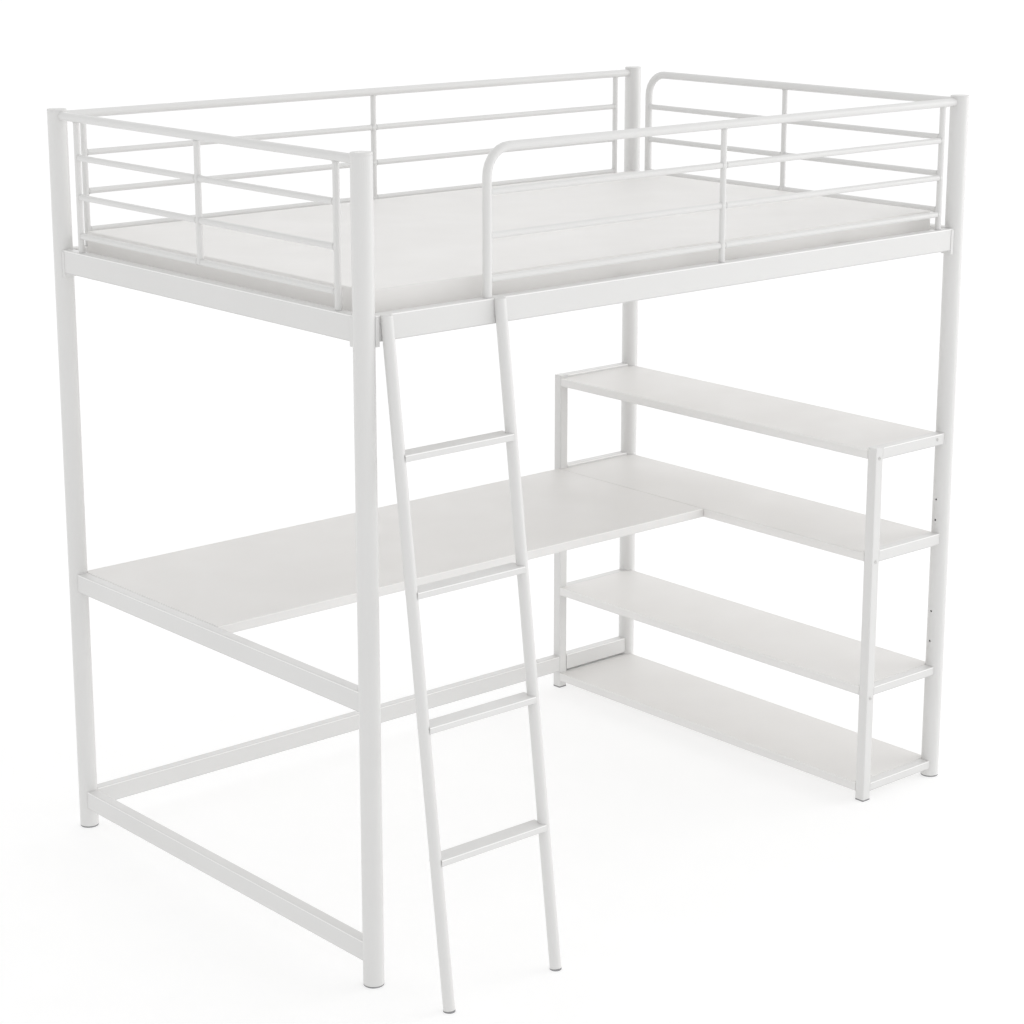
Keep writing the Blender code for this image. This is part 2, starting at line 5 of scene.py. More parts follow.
import bmesh
import bpy
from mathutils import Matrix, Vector


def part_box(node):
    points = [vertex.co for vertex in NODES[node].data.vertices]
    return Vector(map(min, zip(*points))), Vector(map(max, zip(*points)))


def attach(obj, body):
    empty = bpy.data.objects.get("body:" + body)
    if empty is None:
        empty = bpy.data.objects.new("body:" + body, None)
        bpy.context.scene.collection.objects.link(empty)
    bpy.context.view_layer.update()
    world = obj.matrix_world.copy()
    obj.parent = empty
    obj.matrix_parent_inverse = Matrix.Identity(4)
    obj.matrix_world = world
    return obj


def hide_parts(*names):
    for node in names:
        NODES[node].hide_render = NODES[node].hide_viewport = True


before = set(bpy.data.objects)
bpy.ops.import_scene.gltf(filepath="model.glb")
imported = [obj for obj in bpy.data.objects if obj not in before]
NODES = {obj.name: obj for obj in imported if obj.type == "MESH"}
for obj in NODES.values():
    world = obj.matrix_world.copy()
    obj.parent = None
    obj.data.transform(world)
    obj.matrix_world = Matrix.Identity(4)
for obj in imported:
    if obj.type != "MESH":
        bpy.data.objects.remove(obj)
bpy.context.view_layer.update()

bl_info = {
    "name": "Loft Bed With Desk",
    "version": (1, 0, 0),
    "blender": (4, 5, 0),
    "location": "3D View > Sidebar > Loft Bed",
    "description": "Finishes a white loft bed: paint, boards, caps, welds, screws and a studio",
    "category": "Object",
}

BODY = "root"

CORNERS = ("front_left", "front_right", "back_left", "back_right")
FLOOR_Z = 0.0
SHELVES = (1, 2, 3, 4)            # counted from the floor
TINY = 0.0004                     # how near a face lies to a place to be picked
SAME_POINT = 0.00001              # points nearer than this are one point


# ---- places taken from the frame ----------------------------------------------------------------
def middle(node):
    low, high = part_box(node)
    return (low + high) / 2


def post_axis(corner):
    return middle("post_" + corner)


def post_radius():
    low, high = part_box("post_front_left")
    return (high.x - low.x) / 2


# ---- what a user would change ----------------------------------------------------------------------
class LoftBedFinish(bpy.types.PropertyGroup):
    paint: bpy.props.FloatVectorProperty(
        name="Powder coat", description="Colour of the painted steel", subtype="COLOR",
        size=3, min=0.0, max=1.0, default=(0.735, 0.732, 0.724))
    paint_gloss: bpy.props.FloatProperty(
        name="Powder coat roughness", description="Lower is shinier", subtype="FACTOR",
        min=0.05, max=1.0, default=0.36)
    board: bpy.props.FloatVectorProperty(
        name="Board face", description="Colour of the faced boards", subtype="COLOR",
        size=3, min=0.0, max=1.0, default=(0.800, 0.788, 0.773))
    board_gloss: bpy.props.FloatProperty(
        name="Board roughness", description="Lower is shinier", subtype="FACTOR",
        min=0.05, max=1.0, default=0.48)
    band: bpy.props.FloatVectorProperty(
        name="Edge band", description="Colour of the strip round each board", subtype="COLOR",
        size=3, min=0.0, max=1.0, default=(0.800, 0.792, 0.780))
    cap: bpy.props.FloatVectorProperty(
        name="Caps", description="Colour of the moulded caps on the posts", subtype="COLOR",
        size=3, min=0.0, max=1.0, default=(0.725, 0.722, 0.713))
    glide: bpy.props.FloatVectorProperty(
        name="Glides", description="Colour of the glides under the feet", subtype="COLOR",
        size=3, min=0.0, max=1.0, default=(0.290, 0.290, 0.295))
    screw: bpy.props.FloatVectorProperty(
        name="Screws", description="Colour of the plated screw heads", subtype="COLOR",
        size=3, min=0.0, max=1.0, default=(0.700, 0.695, 0.682))


class LoftBedSizes(bpy.types.PropertyGroup):
    board_edge: bpy.props.FloatProperty(
        name="Board edge", description="Radius of the rounded board edges", unit="LENGTH",
        min=0.0005, max=0.004, default=0.0018)
    band_seam: bpy.props.FloatProperty(
        name="Band seam", description="Depth of the hairline beside the edge band", unit="LENGTH",
        min=0.00005, max=0.001, default=0.00025)
    weld: bpy.props.FloatProperty(
        name="Weld bead", description="Thickness of the weld beads", unit="LENGTH",
        min=0.0005, max=0.004, default=0.0011)
    screw_head: bpy.props.FloatProperty(
        name="Screw head", description="Diameter of the screw heads", unit="LENGTH",
        min=0.004, max=0.014, default=0.0095)
    guard_bar: bpy.props.FloatProperty(
        name="Guard bar", description="Diameter of the guards' bars", unit="LENGTH",
        min=0.008, max=0.030, default=0.016)
    guard_top: bpy.props.FloatProperty(
        name="Guard top rail", description="Diameter of the guards' top rails", unit="LENGTH",
        min=0.010, max=0.040, default=0.022)


def finish_of():
    return bpy.context.scene.loft_bed_finish


def sizes_of():
    return bpy.context.scene.loft_bed_sizes


# ---- finishes --------------------------------------------------------------------------------------
BEVEL_SAMPLES = 6
EDGE_FULL, EDGE_START = 0.86, 0.995   # cosines between the rounded normal and the flat one
ARRIS_START, ARRIS_FULL = 0.08, 0.20  # where the painted highlight and painted shade on edges begin and are full, in rise times (1 - rise): 0 on level and upright faces
PAINT_IOR, BOARD_IOR, PLASTIC_IOR = 1.48, 1.46, 1.49
SCREW_METAL = 0.45
GRAIN_STRETCH = (1.0, 9.0, 9.0)       # long along the bed
BAND_STRETCH = (0.2, 0.2, 1.0)        # drawn along the band


class Recipe:
    """A material's node tree, with one shader and short ways to add and join nodes."""

    def __init__(self, name):
        self.material = bpy.data.materials.new(name)
        self.material.use_nodes = True
        self.tree = self.material.node_tree
        self.shader = self.tree.nodes["Principled BSDF"]
        self.place = self.add("ShaderNodeTexCoord").outputs["Object"]

    def add(self, kind, **settings):
        node = self.tree.nodes.new(kind)
        for key, value in settings.items():
            setattr(node, key, value)
        return node

    def join(self, source, target):
        self.tree.links.new(source, target)

    def noise(self, scale, detail=2.0, stretch=None):
        node = self.add("ShaderNodeTexNoise")
        node.inputs["Scale"].default_value = scale
        node.inputs["Detail"].default_value = detail
        if stretch is None:
            self.join(self.place, node.inputs["Vector"])
        else:
            mapping = self.add("ShaderNodeMapping")
            mapping.inputs["Scale"].default_value = stretch
            self.join(self.place, mapping.inputs["Vector"])
            self.join(mapping.outputs["Vector"], node.inputs["Vector"])
        return node.outputs["Fac"]

    def spread(self, value, low, high, start=0.3, end=0.7):
        node = self.add("ShaderNodeMapRange")
        for key, number in (("From Min", start), ("From Max", end), ("To Min", low), ("To Max", high)):
            node.inputs[key].default_value = number
        self.join(value, node.inputs["Value"])
        return node.outputs["Result"]

    def blend(self, amount, first, second):
        node = self.add("ShaderNodeMix", data_type="RGBA")
        self.join(amount, node.inputs["Factor"])
        for socket, colour in ((node.inputs[6], first), (node.inputs[7], second)):
            if isinstance(colour, bpy.types.NodeSocket):
                self.join(colour, socket)
            else:
                socket.default_value = colour
        return node.outputs[2]

    def multiply(self, first, second):
        node = self.add("ShaderNodeMath", operation="MULTIPLY")
        self.join(first, node.inputs[0])
        self.join(second, node.inputs[1])
        return node.outputs[0]

    def rounded(self, radius):
        """Edges shaded as if they were rounded, as paint and film lie over them."""
        node = self.add("ShaderNodeBevel", samples=BEVEL_SAMPLES)
        node.inputs["Radius"].default_value = radius
        return node.outputs["Normal"]

    def edges(self, soft_normal):
        """0 on a flat face, rising to 1 along an edge."""
        flat = self.add("ShaderNodeNewGeometry").outputs["Normal"]
        dot = self.add("ShaderNodeVectorMath", operation="DOT_PRODUCT")
        self.join(soft_normal, dot.inputs[0])
        self.join(flat, dot.inputs[1])
        return self.spread(dot.outputs["Value"], 1.0, 0.0, EDGE_FULL, EDGE_START)

    def arris_light_masks(self):
        """Two masks for painted light, each 0 on flat faces: 1 on edges that face upwards, for a
        painted highlight, and 1 on those that face down, for a painted shade.
        """
        parts = self.add("ShaderNodeSeparateXYZ")
        self.join(self.add("ShaderNodeNewGeometry").outputs["Normal"], parts.inputs[0])
        rise = parts.outputs["Z"]
        upper = self.multiply(rise, self.spread(rise, 1.0, 0.0, 0.0, 1.0))
        lower = self.multiply(rise, self.spread(rise, 0.0, 1.0, -1.0, 0.0))
        return (self.spread(upper, 0.0, 1.0, ARRIS_START, ARRIS_FULL),
                self.spread(lower, 1.0, 0.0, -ARRIS_FULL, -ARRIS_START))

    def with_painted_arris_light(self, body, bright, deep):
        """The body colour with a painted highlight along edges that face up and a painted shade along
        those that face down.
        """
        upper, lower = self.arris_light_masks()
        return self.blend(lower, self.blend(upper, body, bright), deep)

    def bump(self, height, distance, strength, normal=None):
        node = self.add("ShaderNodeBump")
        node.inputs["Strength"].default_value = strength
        node.inputs["Distance"].default_value = distance
        self.join(height, node.inputs["Height"])
        if normal is not None:
            self.join(normal, node.inputs["Normal"])
        return node.outputs["Normal"]

    def done(self, colour, roughness, normal):
        self.join(colour, self.shader.inputs["Base Color"])
        self.join(roughness, self.shader.inputs["Roughness"])
        self.join(normal, self.shader.inputs["Normal"])
        return self.material


def shade_of(colour, factor):
    return tuple(min(channel * factor, 1.0) for channel in colour) + (1.0,)


def powder_coat(square=False):
    """Satin powder coat: orange peel, clouds of tone, and edges painted brighter, partly as coat that
    is thinner there and partly as a painted highlight.

    On square tube, edges that face up get a further painted highlight and those that face down a
    painted shade."""
    name = "powder_coat_square" if square else "powder_coat"
    done = bpy.data.materials.get(name)
    if done:
        return done
    look = finish_of()
    r = Recipe(name)
    clouds = r.spread(r.noise(scale=2.3, detail=3.0), 0.0, 1.0)
    body = r.blend(clouds, shade_of(look.paint, 0.985), shade_of(look.paint, 1.012))
    soft = r.rounded(0.0016)
    # edges painted brighter: partly coat that is thinner there, partly a painted highlight
    thin_coat_and_highlight = r.multiply(r.edges(soft), r.spread(r.noise(scale=38.0, detail=3.0), 0.35, 0.95))
    colour = r.blend(thin_coat_and_highlight, body, shade_of(look.paint, 1.20))
    # on square tube, a painted highlight on edges that face up and a painted shade on those that face
    # down
    if square:
        colour = r.with_painted_arris_light(colour, shade_of(look.paint, 1.28), shade_of(look.paint, 0.86))
    gloss = r.spread(r.noise(scale=14.0, detail=4.0), look.paint_gloss - 0.05, look.paint_gloss + 0.07)
    peel = r.bump(r.noise(scale=330.0, detail=2.0),
                  distance=0.0003, strength=0.06, normal=soft)
    fine = r.bump(r.noise(scale=1500.0, detail=1.0),
                  distance=0.0001, strength=0.04, normal=peel)
    r.shader.inputs["IOR"].default_value = PAINT_IOR
    return r.done(colour, gloss, fine)


def board_face():
    """Matt faced board: faint warm clouds, a long soft grain and a pearl texture."""
    done = bpy.data.materials.get("board_face")
    if done:
        return done
    look = finish_of()
    r = Recipe("board_face")
    clouds = r.spread(r.noise(scale=1.7, detail=4.0), 0.0, 1.0)
    body = r.blend(clouds, shade_of(look.board, 0.988), shade_of(look.board, 1.010))
    grain = r.spread(r.noise(scale=26.0, detail=5.0, stretch=GRAIN_STRETCH), 0.0, 0.35)
    grained = r.blend(grain, body, shade_of(look.board, 0.975))
    soft = r.rounded(0.0012)
    # edges painted brighter: partly wear, partly a painted highlight
    wear_and_highlight = r.multiply(r.edges(soft), r.spread(r.noise(scale=45.0, detail=3.0), 0.3, 0.9))
    colour = r.blend(wear_and_highlight, grained, shade_of(look.band, 1.15))
    gloss = r.spread(r.noise(scale=9.0, detail=4.0), look.board_gloss - 0.06, look.board_gloss + 0.08)
    pearl = r.bump(r.noise(scale=620.0, detail=2.0),
                   distance=0.0002, strength=0.06, normal=soft)
    r.shader.inputs["IOR"].default_value = BOARD_IOR
    return r.done(colour, gloss, pearl)


def edge_band():
    """The plastic strip ironed round a board: smoother than the face and a little brighter, its edges
    painted brighter partly as wear and partly as a painted highlight, with a further painted highlight
    on edges that face up and a painted shade on those that face down.
    """
    done = bpy.data.materials.get("edge_band")
    if done:
        return done
    look = finish_of()
    r = Recipe("edge_band")
    clouds = r.spread(r.noise(scale=5.0, detail=3.0), 0.0, 1.0)
    body = r.blend(clouds, shade_of(look.band, 0.985), shade_of(look.band, 1.015))
    soft = r.rounded(0.0010)
    # edges painted brighter: partly wear, partly a painted highlight
    wear_and_highlight = r.multiply(r.edges(soft), r.spread(r.noise(scale=60.0, detail=3.0), 0.4, 1.0))
    # painted highlight on edges that face up, painted shade on those that face down
    colour = r.with_painted_arris_light(r.blend(wear_and_highlight, body, shade_of(look.band, 1.15)),
                     shade_of(look.band, 1.24), shade_of(look.band, 0.84))
    gloss = r.spread(r.noise(scale=20.0, detail=3.0), look.board_gloss - 0.12, look.board_gloss)
    drawn = r.bump(r.noise(scale=240.0, detail=2.0, stretch=BAND_STRETCH),
                   distance=0.0002, strength=0.08, normal=soft)
    return r.done(colour, gloss, drawn)


def cap_plastic():
    """White moulded plastic with a fine spark-eroded texture."""
    done = bpy.data.materials.get("cap_plastic")
    if done:
        return done
    look = finish_of()
    r = Recipe("cap_plastic")
    clouds = r.spread(r.noise(scale=22.0, detail=3.0), 0.0, 1.0)
    body = r.blend(clouds, shade_of(look.cap, 0.985), shade_of(look.cap, 1.012))
    soft = r.rounded(0.0008)
    # rim painted brighter: partly wear, partly a painted highlight
    wear_and_highlight = r.multiply(r.edges(soft), r.spread(r.noise(scale=90.0, detail=3.0), 0.3, 0.9))
    colour = r.blend(wear_and_highlight, body, shade_of(look.cap, 1.10))
    gloss = r.spread(r.noise(scale=60.0, detail=3.0), 0.40, 0.56)
    spark = r.bump(r.noise(scale=1100.0, detail=2.0),
                   distance=0.0002, strength=0.20, normal=soft)
    r.shader.inputs["IOR"].default_value = PLASTIC_IOR
    return r.done(colour, gloss, spark)


def glide_rubber():
    """Dark grey glide: dull, gritty, and scuffed paler along its edges."""
    done = bpy.data.materials.get("glide_rubber")
    if done:
        return done
    look = finish_of()
    r = Recipe("glide_rubber")
    clouds = r.spread(r.noise(scale=70.0, detail=4.0), 0.0, 1.0)
    body = r.blend(clouds, shade_of(look.glide, 0.85), shade_of(look.glide, 1.15))
    soft = r.rounded(0.0006)
    scuff = r.multiply(r.edges(soft), r.spread(r.noise(scale=180.0, detail=4.0), 0.0, 0.8, 0.4, 0.65))
    colour = r.blend(scuff, body, shade_of(look.glide, 2.2))
    gloss = r.spread(r.noise(scale=110.0, detail=3.0), 0.62, 0.82)
    grit = r.bump(r.noise(scale=900.0, detail=3.0),
                  distance=0.0003, strength=0.35, normal=soft)
    return r.done(colour, gloss, grit)


def weld_paint():
    """Powder coat over a weld bead: the same paint, lying rougher and a touch deeper in tone."""
    done = bpy.data.materials.get("weld_paint")
    if done:
        return done
    look = finish_of()
    r = Recipe("weld_paint")
    ripples = r.spread(r.noise(scale=420.0, detail=3.0), 0.0, 1.0)
    colour = r.blend(ripples, shade_of(look.paint, 0.95), shade_of(look.paint, 1.01))
    gloss = r.spread(r.noise(scale=150.0, detail=2.0), look.paint_gloss, look.paint_gloss + 0.12)
    peel = r.bump(r.noise(scale=520.0, detail=2.0),
                  distance=0.0004, strength=0.30)
    return r.done(colour, gloss, peel)


def plated_screw():
    """Nickel-plated steel that has been handled: a fine uneven grain, and its edges painted brighter,
    partly as polish and partly as a painted highlight.
    """
    done = bpy.data.materials.get("plated_screw")
    if done:
        return done
    look = finish_of()
    r = Recipe("plated_screw")
    r.shader.inputs["Metallic"].default_value = SCREW_METAL
    clouds = r.spread(r.noise(scale=260.0, detail=4.0), 0.0, 1.0)
    body = r.blend(clouds, shade_of(look.screw, 0.82), shade_of(look.screw, 1.06))
    soft = r.rounded(0.0004)
    # edges painted brighter: partly polish, partly a painted highlight
    colour = r.blend(r.edges(soft), body, shade_of(look.screw, 1.35))
    gloss = r.spread(r.noise(scale=500.0, detail=3.0), 0.26, 0.44)
    grain = r.bump(r.noise(scale=1600.0, detail=2.0),
                   distance=0.0001, strength=0.20, normal=soft)
    return r.done(colour, gloss, grain)


def coat(obj, *materials):
    """Put materials in an object's slots, in order, the last one in every slot left."""
    while len(obj.material_slots) < len(materials):
        obj.data.materials.append(None)
    for index, slot in enumerate(obj.material_slots):
        slot.material = materials[min(index, len(materials) - 1)]


# ---- bench work ------------------------------------------------------------------------------------
def clear_selection():
    if bpy.context.mode != "OBJECT":
        bpy.ops.object.mode_set(mode="OBJECT")
    bpy.ops.object.select_all(action="DESELECT")


def take(obj):
    clear_selection()
    obj.select_set(True)
    bpy.context.view_layer.objects.active = obj


def laid_down(name):
    """Name the shape just added and put its place into its mesh."""
    obj = bpy.context.active_object
    obj.name = name
    obj.data.name = name
    bpy.ops.object.transform_apply(location=True, rotation=True, scale=True)
    return obj


def block(name, low, high):
    clear_selection()
    bpy.ops.mesh.primitive_cube_add(size=1.0, location=(low + high) / 2, scale=high - low)
    return laid_down(name)


def drum(name, centre, radius, depth, sides=48, rotation=(0.0, 0.0, 0.0)):
    clear_selection()
    bpy.ops.mesh.primitive_cylinder_add(vertices=sides, radius=radius, depth=depth,
                                        location=centre, rotation=rotation)
    return laid_down(name)


@contextmanager
def editing(obj, mode="FACE"):
    take(obj)
    bpy.ops.object.mode_set(mode="EDIT")
    bpy.ops.mesh.select_mode(type=mode)
    bpy.ops.mesh.select_all(action="DESELECT")
    yield
    bpy.ops.object.mode_set(mode="OBJECT")


def pick_faces(obj, wanted):
    """Select only the faces for which wanted(centre, normal) holds."""
    bpy.ops.mesh.select_all(action="DESELECT")
    mesh = bmesh.from_edit_mesh(obj.data)
    picked = [f for f in mesh.faces if wanted(f.calc_center_median(), f.normal)]
    if not picked:
        raise RuntimeError("no face of %s fits" % obj.name)
    for face in picked:
        face.select_set(True)
    bmesh.update_edit_mesh(obj.data)


def pick_edges(obj, wanted):
    """Select only the edges for which wanted(end, end) holds."""
    bpy.ops.mesh.select_all(action="DESELECT")
    mesh = bmesh.from_edit_mesh(obj.data)
    picked = [e for e in mesh.edges if wanted(e.verts[0].co, e.verts[1].co)]
    if not picked:
        raise RuntimeError("no edge of %s fits" % obj.name)
    for edge in picked:
        edge.select_set(True)
    bmesh.update_edit_mesh(obj.data)


def merge_points(obj):
    """Make one point of those that a cut or a rounding has left on top of each other."""
    with editing(obj, "VERT"):
        bpy.ops.mesh.select_all(action="SELECT")
        bpy.ops.mesh.remove_doubles(threshold=SAME_POINT)


def cut_away(obj, tool):
    mod = obj.modifiers.new("notch", "BOOLEAN")
    mod.operation = "DIFFERENCE"
    mod.solver = "EXACT"
    mod.object = tool
    take(obj)
    bpy.ops.object.modifier_apply(modifier=mod.name)
    bpy.data.objects.remove(tool, do_unlink=True)
    merge_points(obj)


def round_edges(obj, width, steps, limit=math.radians(40)):
    mod = obj.modifiers.new("round", "BEVEL")
    mod.width = width
    mod.segments = steps
    mod.limit_method = "ANGLE"
    mod.angle_limit = limit
    mod.use_clamp_overlap = True
    take(obj)
    bpy.ops.object.modifier_apply(modifier=mod.name)
    merge_points(obj)


def soft_shade(obj, degrees=35):
    take(obj)
    bpy.ops.object.shade_smooth_by_angle(angle=math.radians(degrees))


def copied(obj, name, move):
    """A copy with its own mesh, moved, its place in its mesh."""
    take(obj)
    bpy.ops.object.duplicate(linked=False)
    twin = bpy.context.active_object
    bpy.ops.transform.translate(value=move)
    twin.name = name
    twin.data.name = name
    bpy.ops.object.transform_apply(location=True, rotation=True, scale=True)
    return twin


def gathered(pieces, name):
    """Join several shapes into one piece."""
    clear_selection()
    for obj in pieces:
        obj.select_set(True)
    bpy.context.view_layer.objects.active = pieces[0]
    bpy.ops.object.join()
    whole = bpy.context.active_object
    whole.name = name
    whole.data.name = name
    return whole


def fitted(obj, slot, *nodes):
    """Fix a finished piece to the bed, and let it stand for the frame's nodes if any."""
    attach(obj, BODY)
    if nodes:
        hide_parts(*nodes)
    clear_selection()
    return obj


# ---- painted steel ---------------------------------------------------------------------------------
class LOFTBED_OT_paint_steel(bpy.types.Operator):
    """Powder-coat every post, rail, guard, upright, stile and tread"""
    bl_idname = "loftbed.paint_steel"
    bl_label = "Paint the steel"

    def execute(self, context):
        round_tube = ("post_front", "post_back", "guard_", "ladder_stile_")
        square_tube = ("bed_rail_", "base_support_", "low_rail_", "desk_rail_", "desk_bar",
                       "shelf_upright_", "shelf_rail_", "ladder_rung_")
        for name, node in NODES.items():
            if name.startswith(round_tube):
                coat(node, powder_coat())
            elif name.startswith(square_tube):
                coat(node, powder_coat(square=True))
        return {"FINISHED"}


# ---- boards ----------------------------------------------------------------------------------------
NOTCH_CLEAR = 0.001
NOTCH_SIDES = 48
SEAM = 0.0009                     # more room where the desk meets the shelf
DESK_LEVEL = 3                    # the shelf that the desk meets
BAND_LIP = 0.0004                 # flat rim between a board's rounded edge and its hairline
HAIRLINE = 0.0003                 # half the width of the hairline groove
PANEL_EDGE = 0.004                # radius of the mattress panel's rim
PANEL_LIP = 0.0005
PANEL_LINE = 0.0004               # half the width of the line inside the panel's rim
PANEL_LINE_DEEP = 0.0003
PANEL_FOLD = 0.018                # width of the folded rim, seen from below
PANEL_FOLD_SLOPE = 0.001
PANEL_FOLD_DEEP = 0.004


def banded_board(name, node, corners, short=0.0, plain_x=None):
    """A faced board with an edge band, notched round the posts it passes.

    It is cut short on its right, and has no band at plain_x, where another board meets it."""
    size = sizes_of()
    low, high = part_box(node)
    high.x -= short
    board = block(name, low, high)
    for corner in corners:
        axis = post_axis(corner)
        centre = Vector((axis.x, axis.y, (low.z + high.z) / 2))
        tool = drum("notch_tool", centre, post_radius() + NOTCH_CLEAR, 4 * (high.z - low.z),
                    NOTCH_SIDES)
        cut_away(board, tool)
    round_edges(board, size.board_edge, 3)
    with editing(board):
        for side in (1, -1):
            level = high.z if side > 0 else low.z
            pick_faces(board, lambda c, n: n.z * side > 0.99 and abs(c.z - level) < TINY)
            bpy.ops.mesh.inset(thickness=BAND_LIP, depth=0.0)
            bpy.ops.mesh.inset(thickness=HAIRLINE, depth=-size.band_seam)
            bpy.ops.mesh.inset(thickness=HAIRLINE, depth=size.band_seam)
    coat(board, board_face(), edge_band())
    with editing(board):
        face_edge = size.board_edge + BAND_LIP
        pick_faces(board, lambda c, n: (plain_x is None or abs(c.x - plain_x) > face_edge) and (
            abs(n.z) < 0.99 or not (low.x + face_edge < c.x < high.x - face_edge and
                                    low.y + face_edge < c.y < high.y - face_edge)))
        board.active_material_index = 1
        bpy.ops.object.material_slot_assign()
    soft_shade(board)
    return board


class LOFTBED_OT_desk_board(bpy.types.Operator):
    """Make the desk board, with its edge band and the notch round the back post"""
    bl_idname = "loftbed.desk_board"
    bl_label = "Desk board"

    def execute(self, context):
        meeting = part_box("desk_top")[1].x - SEAM
        board = banded_board("desk_board", "desk_top", ("back_left",), SEAM, meeting)
        fitted(board, "board", "desk_top")
        return {"FINISHED"}


class LOFTBED_OT_shelf_boards(bpy.types.Operator):
    """Make the four shelf boards, each notched round the two posts at its end"""
    bl_idname = "loftbed.shelf_boards"
    bl_label = "Shelf boards"

    def execute(self, context):
        for number in SHELVES:
            node = "shelf_board_%d" % number
            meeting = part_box(node)[0].x if number == DESK_LEVEL else None
            board = banded_board("shelf_%d_board" % number, node, ("front_right", "back_right"),
                                 0.0, meeting)
            fitted(board, "board", node)
        return {"FINISHED"}


class LOFTBED_OT_mattress_panel(bpy.types.Operator):
    """Make the panel that the mattress lies on, with a folded and rounded rim"""
    bl_idname = "loftbed.mattress_panel"
    bl_label = "Mattress panel"

    def execute(self, context):
        low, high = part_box("mattress_base")
        panel = block("mattress_panel", low, high)
        round_edges(panel, PANEL_EDGE, 4)
        with editing(panel):
            pick_faces(panel, lambda c, n: n.z > 0.99 and abs(c.z - high.z) < TINY)
            bpy.ops.mesh.inset(thickness=PANEL_LIP, depth=0.0)
            bpy.ops.mesh.inset(thickness=PANEL_LINE, depth=-PANEL_LINE_DEEP)
            bpy.ops.mesh.inset(thickness=PANEL_LINE, depth=PANEL_LINE_DEEP)
            pick_faces(panel, lambda c, n: n.z < -0.99 and abs(c.z - low.z) < TINY)
            bpy.ops.mesh.inset(thickness=PANEL_FOLD, depth=0.0)
            bpy.ops.mesh.inset(thickness=PANEL_FOLD_SLOPE, depth=-PANEL_FOLD_DEEP)
        coat(panel, board_face())
        soft_shade(panel)
        fitted(panel, "board", "mattress_base")
        return {"FINISHED"}


# ---- caps and glides -------------------------------------------------------------------------------
CAP_SIDES = 64
CAP_EDGE = 0.0016                 # radius of the cap's rim
CAP_LIP = 0.0030                  # flat rim outside the moulded ring
CAP_RING = 0.0004                 # half the width of the ring
CAP_RING_DEEP = 0.0003
CAP_DISC = 0.0180                 # from the ring in to the small disc in the middle
CAP_PLUG_IN = 0.0019              # how far inside the cap's rim its plug starts
GLIDE_GAP = 0.0002                # between a tube's end and the glide's rim
GLIDE_IN = 0.0004                 # how much less than the tube's radius the glide's is
GLIDE_EDGE = 0.0014
GLIDE_PLUG_IN = 0.0020


class LOFTBED_OT_post_caps(bpy.types.Operator):
    """Make the flat moulded caps on the posts, rounded at the rim, each with its plug"""
    bl_idname = "loftbed.post_caps"
    bl_label = "Post caps"

    def execute(self, context):
        first = CORNERS[0]
        low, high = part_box("post_cap_" + first)
        tube_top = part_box("post_" + first)[1].z
        axis = post_axis(first)
        radius = post_radius()
        depth = high.z - tube_top
        cap = drum("cap_" + first, Vector((axis.x, axis.y, high.z - depth / 2)), radius, depth,
                   CAP_SIDES)
        with editing(cap, "EDGE"):
            pick_edges(cap, lambda a, b: min(a.z, b.z) > high.z - TINY)
            bpy.ops.mesh.bevel(offset=CAP_EDGE, segments=4, affect="EDGES")
        with editing(cap):
            pick_faces(cap, lambda c, n: n.z > 0.99)
            bpy.ops.mesh.inset(thickness=CAP_LIP, depth=0.0)
            bpy.ops.mesh.inset(thickness=CAP_RING, depth=-CAP_RING_DEEP)
            bpy.ops.mesh.inset(thickness=CAP_RING, depth=CAP_RING_DEEP)
            bpy.ops.mesh.inset(thickness=CAP_DISC, depth=0.0)
            pick_faces(cap, lambda c, n: n.z < -0.99)
            bpy.ops.mesh.inset(thickness=CAP_PLUG_IN, depth=0.0)
            bpy.ops.mesh.extrude_region_move(
                TRANSFORM_OT_translate={"value": (0.0, 0.0, low.z - tube_top)})
        coat(cap, cap_plastic())
        soft_shade(cap)
        for corner in CORNERS:
            twin = cap if corner == first else copied(cap, "cap_" + corner,
                                                      post_axis(corner) - axis)
            fitted(twin, "cap", "post_cap_" + corner)
        return {"FINISHED"}


class LOFTBED_OT_foot_glides(bpy.types.Operator):
    """Make the dark glides in the ends of the posts, rounded where they meet the floor"""
    bl_idname = "loftbed.foot_glides"
    bl_label = "Foot glides"

    def execute(self, context):
        first = CORNERS[0]
        low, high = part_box("foot_cap_" + first)
        tube_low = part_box("post_" + first)[0].z
        axis = post_axis(first)
        radius = post_radius()
        depth = tube_low - low.z - GLIDE_GAP
        glide = drum("glide_" + first, Vector((axis.x, axis.y, low.z + depth / 2)),
                     radius - GLIDE_IN, depth, CAP_SIDES)
        with editing(glide, "EDGE"):
            pick_edges(glide, lambda a, b: max(a.z, b.z) < low.z + TINY)
            bpy.ops.mesh.bevel(offset=GLIDE_EDGE, segments=3, affect="EDGES")
        with editing(glide):
            pick_faces(glide, lambda c, n: n.z > 0.99)
            bpy.ops.mesh.inset(thickness=GLIDE_PLUG_IN, depth=0.0)
            bpy.ops.mesh.extrude_region_move(
                TRANSFORM_OT_translate={"value": (0.0, 0.0, high.z - low.z - depth)})
        coat(glide, glide_rubber())
        soft_shade(glide)
        for corner in CORNERS:
            twin = glide if corner == first else copied(glide, "glide_" + corner,
                                                        post_axis(corner) - axis)
            fitted(twin, "foot", "foot_cap_" + corner)
        for name in ("shelf_foot_front", "shelf_foot_back", "ladder_foot_left", "ladder_foot_right"):
            coat(NODES[name], glide_rubber())
        return {"FINISHED"}


# ---- welds on the guards ---------------------------------------------------------------------------
GUARD_LOW_RISE = 0.042            # from the bed rails' top to the lowest bar's axis
GUARD_BARS = 3
